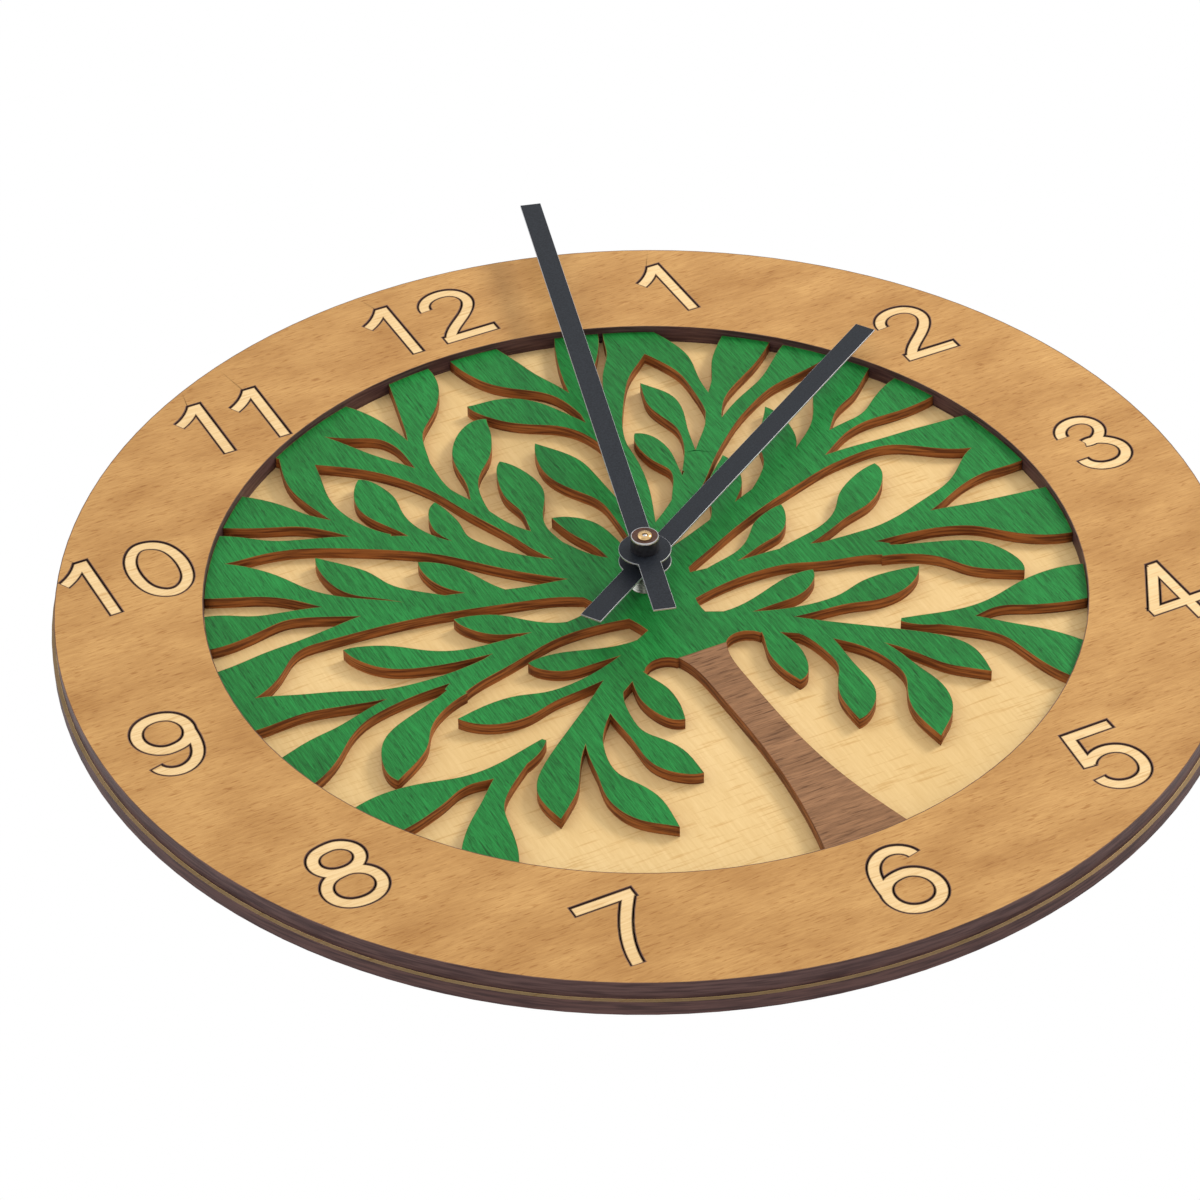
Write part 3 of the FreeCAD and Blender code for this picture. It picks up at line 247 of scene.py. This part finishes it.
def meshOf(nodeName):
    mesh = bmesh.new()
    mesh.from_mesh(nodes[nodeName].data)
    bmesh.ops.remove_doubles(mesh, verts=mesh.verts, dist=weldGap)
    return mesh


def finishPiece(mesh, look, smooth=False):
    data = bpy.data.meshes.new(look["name"])
    mesh.to_mesh(data)
    mesh.free()
    for material in look["materials"]:
        data.materials.append(material)
    if smooth:
        data.shade_smooth()
        data.set_sharp_from_angle(angle=creaseAngle)
    piece = bpy.data.objects.new(look["name"], data)
    bpy.context.scene.collection.objects.link(piece)
    node = look["nodes"][0]
    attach(piece, bodyOf[node])
    if look.get("replaces", True):
        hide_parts(*look["nodes"])


def cornersOf(mesh, shortest=0.0):
    return [edge for edge in mesh.edges if len(edge.link_faces) == 2
            and edge.calc_face_angle() > cornerAngle and edge.calc_length() > shortest]


def roundEdges(mesh, edges, offset, segments, clamp=False):
    bmesh.ops.bevel(mesh, geom=edges, offset=offset, offset_type="OFFSET", segments=segments,
                    profile=0.5, affect="EDGES", material=-1, clamp_overlap=clamp)


def burnEdges(mesh, halo, depth):
    layer = mesh.faces.layers.float.new("scorch")
    levelSlack, wallTilt = 0.01 * mm, 0.6
    frontLevel = min(vert.co.y for vert in mesh.verts) + levelSlack
    front = []
    for face in mesh.faces:
        if all(vert.co.y < frontLevel for vert in face.verts):
            front.append(face)
        elif abs(face.normal.y) < wallTilt:
            face[layer] = 1.0
    # a narrow brown border runs along every cut on the front
    border = bmesh.ops.inset_region(mesh, faces=front, thickness=halo, use_boundary=True,
                                    use_even_offset=True)
    for face in border["faces"]:
        face[layer] = depth


def latheMesh(profile, steps):
    mesh = bmesh.new()
    points = [mesh.verts.new((radius, height, 0)) for radius, height in profile]
    edges = [mesh.edges.new(pair) for pair in zip(points, points[1:])]
    bmesh.ops.spin(mesh, geom=points + edges, cent=(0, 0, 0), axis=(0, 1, 0), angle=2 * pi,
                   steps=steps, use_merge=True)
    bmesh.ops.remove_doubles(mesh, verts=mesh.verts, dist=weldGap / 10)
    bmesh.ops.recalc_face_normals(mesh, faces=mesh.faces)
    return mesh


# wooden layers

wooden = [
    dict(name="backBoard", nodes=["back_board"], materials=[boardWood], halo=0.9 * mm, depth=0.6),
    dict(name="hourRing", nodes=["hour_ring"], materials=[ringWood], halo=0.22 * mm, depth=0.85),
    dict(name="digitCounters", nodes=["counter_pieces"], materials=[ringWood], halo=0.2 * mm, depth=0.75),
    dict(name="leafCrown", nodes=["tree_crown"], materials=[crownWood], halo=0.1 * mm, depth=0.45),
    dict(name="leftSprig", nodes=["sprig_left"], materials=[crownWood], halo=0.1 * mm, depth=0.45),
    dict(name="rightSprig", nodes=["sprig_right"], materials=[crownWood], halo=0.1 * mm, depth=0.45),
    dict(name="trunkPiece", nodes=["tree_trunk"], materials=[trunkWood], halo=0.12 * mm, depth=0.6),
]
for hour in range(1, 13):
    wooden.append(dict(name=f"inlay{hour}", nodes=[f"numeral_{hour}"], materials=[inlayWood],
                       halo=0.2 * mm, depth=0.8))
for look in wooden:
    mesh = meshOf(look["nodes"][0])
    burnEdges(mesh, look["halo"], look["depth"])
    finishPiece(mesh, look)
print("wooden layers", len(wooden))


# hands: lacquered blades with bare metal along their stamped edges

handEdges = dict(offset=0.07 * mm, segments=2, flat=0.97)
for look in (dict(name="hourHandBlade", nodes=["hour_hand"], materials=[handLacquer]),
             dict(name="minuteHandBlade", nodes=["minute_hand"], materials=[handLacquer])):
    mesh = meshOf(look["nodes"][0])
    bareLayer = mesh.faces.layers.float.new("bare")
    roundEdges(mesh, cornersOf(mesh), handEdges["offset"], handEdges["segments"])
    mesh.normal_update()
    for face in mesh.faces:
        face[bareLayer] = 0.0 if abs(face.normal.y) > handEdges["flat"] else 1.0
    finishPiece(mesh, look)

# the nut: a black barrel, a bright rim and a coppered face inside it
nut = dict(bore=1.75 * mm, steps=96, baseEdge=0.15 * mm, shoulder=0.5 * mm, shoulderIn=0.2 * mm,
           seat=0.3 * mm, rimWide=0.32 * mm, rimFoot=0.32 * mm, skirtIn=0.02 * mm, skirt=0.52 * mm,
           crestIn=0.08 * mm, crest=0.12 * mm, crestWide=0.16 * mm, faceDrop=0.06 * mm,
           boreEdge=0.15 * mm, boreDrop=0.16 * mm)
low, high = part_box("hand_nut")
nutRadius = (high[0] - low[0]) / 2
nutTop, nutBase = low[1], high[1]
rimInside = nutRadius - nut["rimWide"]
rimFoot = nutTop + nut["rimFoot"]
nutSeat = nutTop + nut["seat"]
nutFace = nutTop + nut["faceDrop"]
finishPiece(latheMesh([
    (nut["bore"], nutBase), (nutRadius - nut["baseEdge"], nutBase), (nutRadius, nutBase - nut["baseEdge"]),
    (nutRadius, nutTop + nut["shoulder"]), (nutRadius - nut["shoulderIn"], nutSeat),
    (nut["bore"], nutSeat), (nut["bore"], nutBase)], nut["steps"]),
    dict(name="nutBarrel", nodes=["hand_nut"], materials=[nutBlack]), smooth=True)
finishPiece(latheMesh([
    (rimInside, rimFoot), (nutRadius - nut["skirtIn"], nutTop + nut["skirt"]),
    (nutRadius - nut["crestIn"], nutTop + nut["crest"]), (nutRadius - nut["crestWide"], nutTop),
    (rimInside, nutTop), (rimInside, rimFoot)], nut["steps"]),
    dict(name="nutRim", nodes=["hand_nut"], materials=[silver], replaces=False), smooth=True)
finishPiece(latheMesh([
    (nut["bore"], rimFoot), (rimInside, rimFoot), (rimInside, nutFace),
    (nut["bore"] + nut["boreEdge"], nutFace), (nut["bore"], nutTop + nut["boreDrop"]),
    (nut["bore"], rimFoot)], nut["steps"]),
    dict(name="nutFace", nodes=["hand_nut"], materials=[copper], replaces=False), smooth=True)
print("hands and nut")


# the threaded bush, turned with a ridge for each turn of the thread

bush = dict(thread=3.85 * mm, root=3.5 * mm, bore=3.06 * mm, pitch=0.75 * mm, flange=0.6 * mm,
            crest=(0.45, 0.55), tipEdge=0.1 * mm, steps=72)
low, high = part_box("threaded_bush")
bushTop, bushBase = low[1], high[1]
bushFlange = (high[0] - low[0]) / 2
flangeFace = bushBase - bush["flange"]
root, pitch = bush["root"], bush["pitch"]
turns = int((flangeFace - bushTop) / pitch) - 1
profile = [(bush["bore"], bushBase), (bushFlange, bushBase), (bushFlange, flangeFace), (root, flangeFace)]
for turn in range(turns):
    start = flangeFace - (turn + 0.5) * pitch
    profile.append((root, start))
    for share in bush["crest"]:
        profile.append((bush["thread"], start - share * pitch))
profile += [(root, flangeFace - (turns + 0.5) * pitch), (root, bushTop + bush["tipEdge"]),
            (root - bush["tipEdge"], bushTop), (bush["bore"], bushTop), (bush["bore"], bushBase)]
finishPiece(latheMesh(profile, bush["steps"]),
            dict(name="bushThread", nodes=["threaded_bush"], materials=[nickel]), smooth=True)


# the movement: arbors, wheels, motor, contacts and mouldings

movement = [
    dict(name="hourPipe", nodes=["hour_wheel"], materials=[nickel]),
    dict(name="minuteTube", nodes=["minute_arbor"], materials=[brass]),
    dict(name="secondArbor", nodes=["second_wheel"], materials=[silver]),
    dict(name="motionWheel", nodes=["motion_wheel"], materials=[wheelPlastic]),
    dict(name="centreWheel", nodes=["centre_wheel"], materials=[wheelPlastic]),
    dict(name="thirdWheel", nodes=["third_wheel"], materials=[wheelPlastic]),
    dict(name="intermediateWheel", nodes=["intermediate_wheel"], materials=[wheelPlastic]),
    dict(name="rotorPinion", nodes=["rotor_pinion"], materials=[wheelPlastic]),
    dict(name="rotorMagnet", nodes=["rotor_magnet"], materials=[ferrite]),
    dict(name="trainPins", nodes=["arbor_pins"], materials=[steel]),
    dict(name="statorPlate", nodes=["stator_plate"], materials=[steel]),
    dict(name="coilCore", nodes=["coil_core"], materials=[steel]),
    dict(name="driveCoil", nodes=["drive_coil"], materials=[winding]),
    dict(name="circuitBoard", nodes=["circuit_board"], materials=[solderMask]),
    dict(name="quartzCan", nodes=["quartz_crystal"], materials=[silver]),
    dict(name="driverBlob", nodes=["driver_chip"], materials=[epoxy]),
    dict(name="negativeContact", nodes=["contact_negative"], materials=[silver]),
    dict(name="positiveContact", nodes=["contact_positive"], materials=[silver]),
    dict(name="foamPad", nodes=["adhesive_pad"], materials=[foam]),
    dict(name="caseMoulding", nodes=["movement_case"], materials=[casePlastic], soften=0.35 * mm),
    dict(name="coverMoulding", nodes=["movement_cover"], materials=[casePlastic], soften=0.2 * mm),
    dict(name="settingKnob", nodes=["setting_knob"], materials=[knobPlastic]),
]
softCorners = dict(shortest=6 * mm, segments=3)
for look in movement:
    mesh = meshOf(look["nodes"][0])
    if "soften" in look:
        roundEdges(mesh, cornersOf(mesh, softCorners["shortest"]), look["soften"], softCorners["segments"],
                   clamp=True)
    finishPiece(mesh, look, smooth="soften" not in look)
print("movement pieces", len(movement))

# grip ribs moulded on the case's two sides
rib = dict(count=9, step=2.4 * mm, side=28 * mm, top=20 * mm, size=(0.7 * mm, 11 * mm, 1.0 * mm),
           edge=0.2 * mm, segments=2)
low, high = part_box("movement_case")
ribs = bmesh.new()
for way in (-1, 1):
    for step in range(rib["count"]):
        spot = Vector((way * rib["side"], (low[1] + high[1]) / 2, rib["top"] - step * rib["step"]))
        bmesh.ops.create_cube(ribs, size=1.0,
                              matrix=Matrix.Translation(spot) @ Matrix.Diagonal((*rib["size"], 1)))
roundEdges(ribs, ribs.edges[:], rib["edge"], rib["segments"])
finishPiece(ribs, dict(name="caseRibs", nodes=["movement_case"], materials=[casePlastic], replaces=False))


# the cell, with its sleeve in two colours and bare metal at both ends

cell = dict(name="cellBody", nodes=["battery"], materials=[cellBlack, cellCopper, silver],
            sleeve=13 * mm, bareEnd=0.8 * mm, cap=1.0 * mm)
mesh = meshOf("battery")
low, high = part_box("battery")
sleeveStart = high[0] - cell["sleeve"]
sleeveEnd = high[0] - cell["cap"] - cell["bareEnd"]
flatEnd = low[0] + cell["bareEnd"]
for cut in (sleeveStart, sleeveEnd, flatEnd):
    bmesh.ops.bisect_plane(mesh, geom=mesh.verts[:] + mesh.edges[:] + mesh.faces[:], plane_co=(cut, 0, 0),
                           plane_no=(1, 0, 0))
black, coppered, bareMetal = range(3)
for face in mesh.faces:
    middle = face.calc_center_median().x
    face.material_index = coppered if sleeveStart < middle < sleeveEnd else black
    if middle > sleeveEnd or middle < flatEnd:
        face.material_index = bareMetal
finishPiece(mesh, cell, smooth=True)

# knurls round the setting knob, and the slot in its face
knurl = dict(count=30, radius=0.22 * mm, sunk=0.02 * mm, long=2.3 * mm, behind=1.3 * mm, sides=8)
knobSlot = dict(size=(6 * mm, 0.4 * mm, 0.8 * mm), sunk=0.05 * mm)
low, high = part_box("setting_knob")
knobMiddle = Vector(((low[0] + high[0]) / 2, 0, (low[2] + high[2]) / 2))
knobFace = high[1]
knobRadius = (high[0] - low[0]) / 2
knurls = bmesh.new()
for step in range(knurl["count"]):
    angle = 2 * pi * step / knurl["count"]
    place = knobMiddle + Vector((cos(angle), 0, sin(angle))) * (knobRadius - knurl["sunk"])
    place.y = knobFace - knurl["behind"]
    bmesh.ops.create_cone(knurls, cap_ends=True, segments=knurl["sides"], radius1=knurl["radius"],
                          radius2=knurl["radius"], depth=knurl["long"],
                          matrix=Matrix.Translation(place) @ Matrix.Rotation(pi / 2, 4, "X"))
slotPlace = Matrix.Translation(knobMiddle + Vector((0, knobFace - knobSlot["sunk"], 0)))
bmesh.ops.create_cube(knurls, size=1.0, matrix=slotPlace @ Matrix.Diagonal((*knobSlot["size"], 1)))
finishPiece(knurls, dict(name="knobKnurls", nodes=["setting_knob"], materials=[knobPlastic], replaces=False))
print("cell and knob")


# floor, light and camera

def addObject(name, data):
    thing = bpy.data.objects.new(name, data)
    bpy.context.scene.collection.objects.link(thing)
    return thing


room = dict(floorLevel=-1.4, floorSize=12, floorColour=(0.82, 0.81, 0.79, 1), floorRoughness=0.8,
            wallColour=(1, 1, 1, 1), brightness=1.0)
mesh = bmesh.new()
bmesh.ops.create_grid(mesh, x_segments=1, y_segments=1, size=room["floorSize"])
floorData = bpy.data.meshes.new("floor")
mesh.to_mesh(floorData)
mesh.free()
floor = addObject("floor", floorData)
floor.location.z = room["floorLevel"]
floorPaint, tree, shader = newMaterial("pale floor", room["floorRoughness"])
shader.inputs["Base Color"].default_value = room["floorColour"]
floorData.materials.append(floorPaint)

world = bpy.data.worlds.new("pale room")
world.use_nodes = True
world.node_tree.nodes["Background"].inputs["Color"].default_value = room["wallColour"]
world.node_tree.nodes["Background"].inputs["Strength"].default_value = room["brightness"]
bpy.context.scene.world = world
bpy.context.scene.view_settings.view_transform = "Standard"    # keeps the stains as strong as they are

lamps = [
    dict(name="keyLamp", place=(1.3, -0.9, 0.2), power=14, side=0.4, colour=(1, 0.96, 0.9)),
    dict(name="fillLamp", place=(-1.2, -1.3, 0.9), power=3, side=1.2, colour=(0.93, 0.96, 1)),
    dict(name="backLamp", place=(0.5, 1.4, 0.9), power=6, side=1.0, colour=(1, 1, 1)),
]
for lamp in lamps:
    data = bpy.data.lights.new(lamp["name"], "AREA")
    data.energy = lamp["power"]
    data.size = lamp["side"]
    data.color = lamp["colour"]
    thing = addObject(lamp["name"], data)
    thing.location = lamp["place"]
    thing.rotation_euler = (-Vector(lamp["place"])).to_track_quat("-Z", "Y").to_euler()

# the camera sees the dial as if the clock lay flat on a table, with 12 turned away to the left
view = dict(lift=radians(38.253), slant=radians(26.398), roll=radians(-0.96), distance=1.1125,
            aim=(-14.24 * mm, dialFace, -2.64 * mm), lens=131.9, sensor=36)
lift, slant = view["lift"], view["slant"]
back = Vector((-cos(lift) * sin(slant), -sin(lift), -cos(lift) * cos(slant)))
level = Vector((cos(slant), 0, -sin(slant)))
rise = Vector((sin(lift) * sin(slant), -cos(lift), sin(lift) * cos(slant)))
right = level * cos(view["roll"]) + rise * sin(view["roll"])
upward = rise * cos(view["roll"]) - level * sin(view["roll"])
cameraData = bpy.data.cameras.new("clockCamera")
cameraData.lens = view["lens"]
cameraData.sensor_width = view["sensor"]
camera = addObject("clockCamera", cameraData)
turn = Matrix((right, upward, back)).transposed()
camera.matrix_world = Matrix.Translation(Vector(view["aim"]) + back * view["distance"]) @ turn.to_4x4()
bpy.context.scene.camera = camera
print("stage")
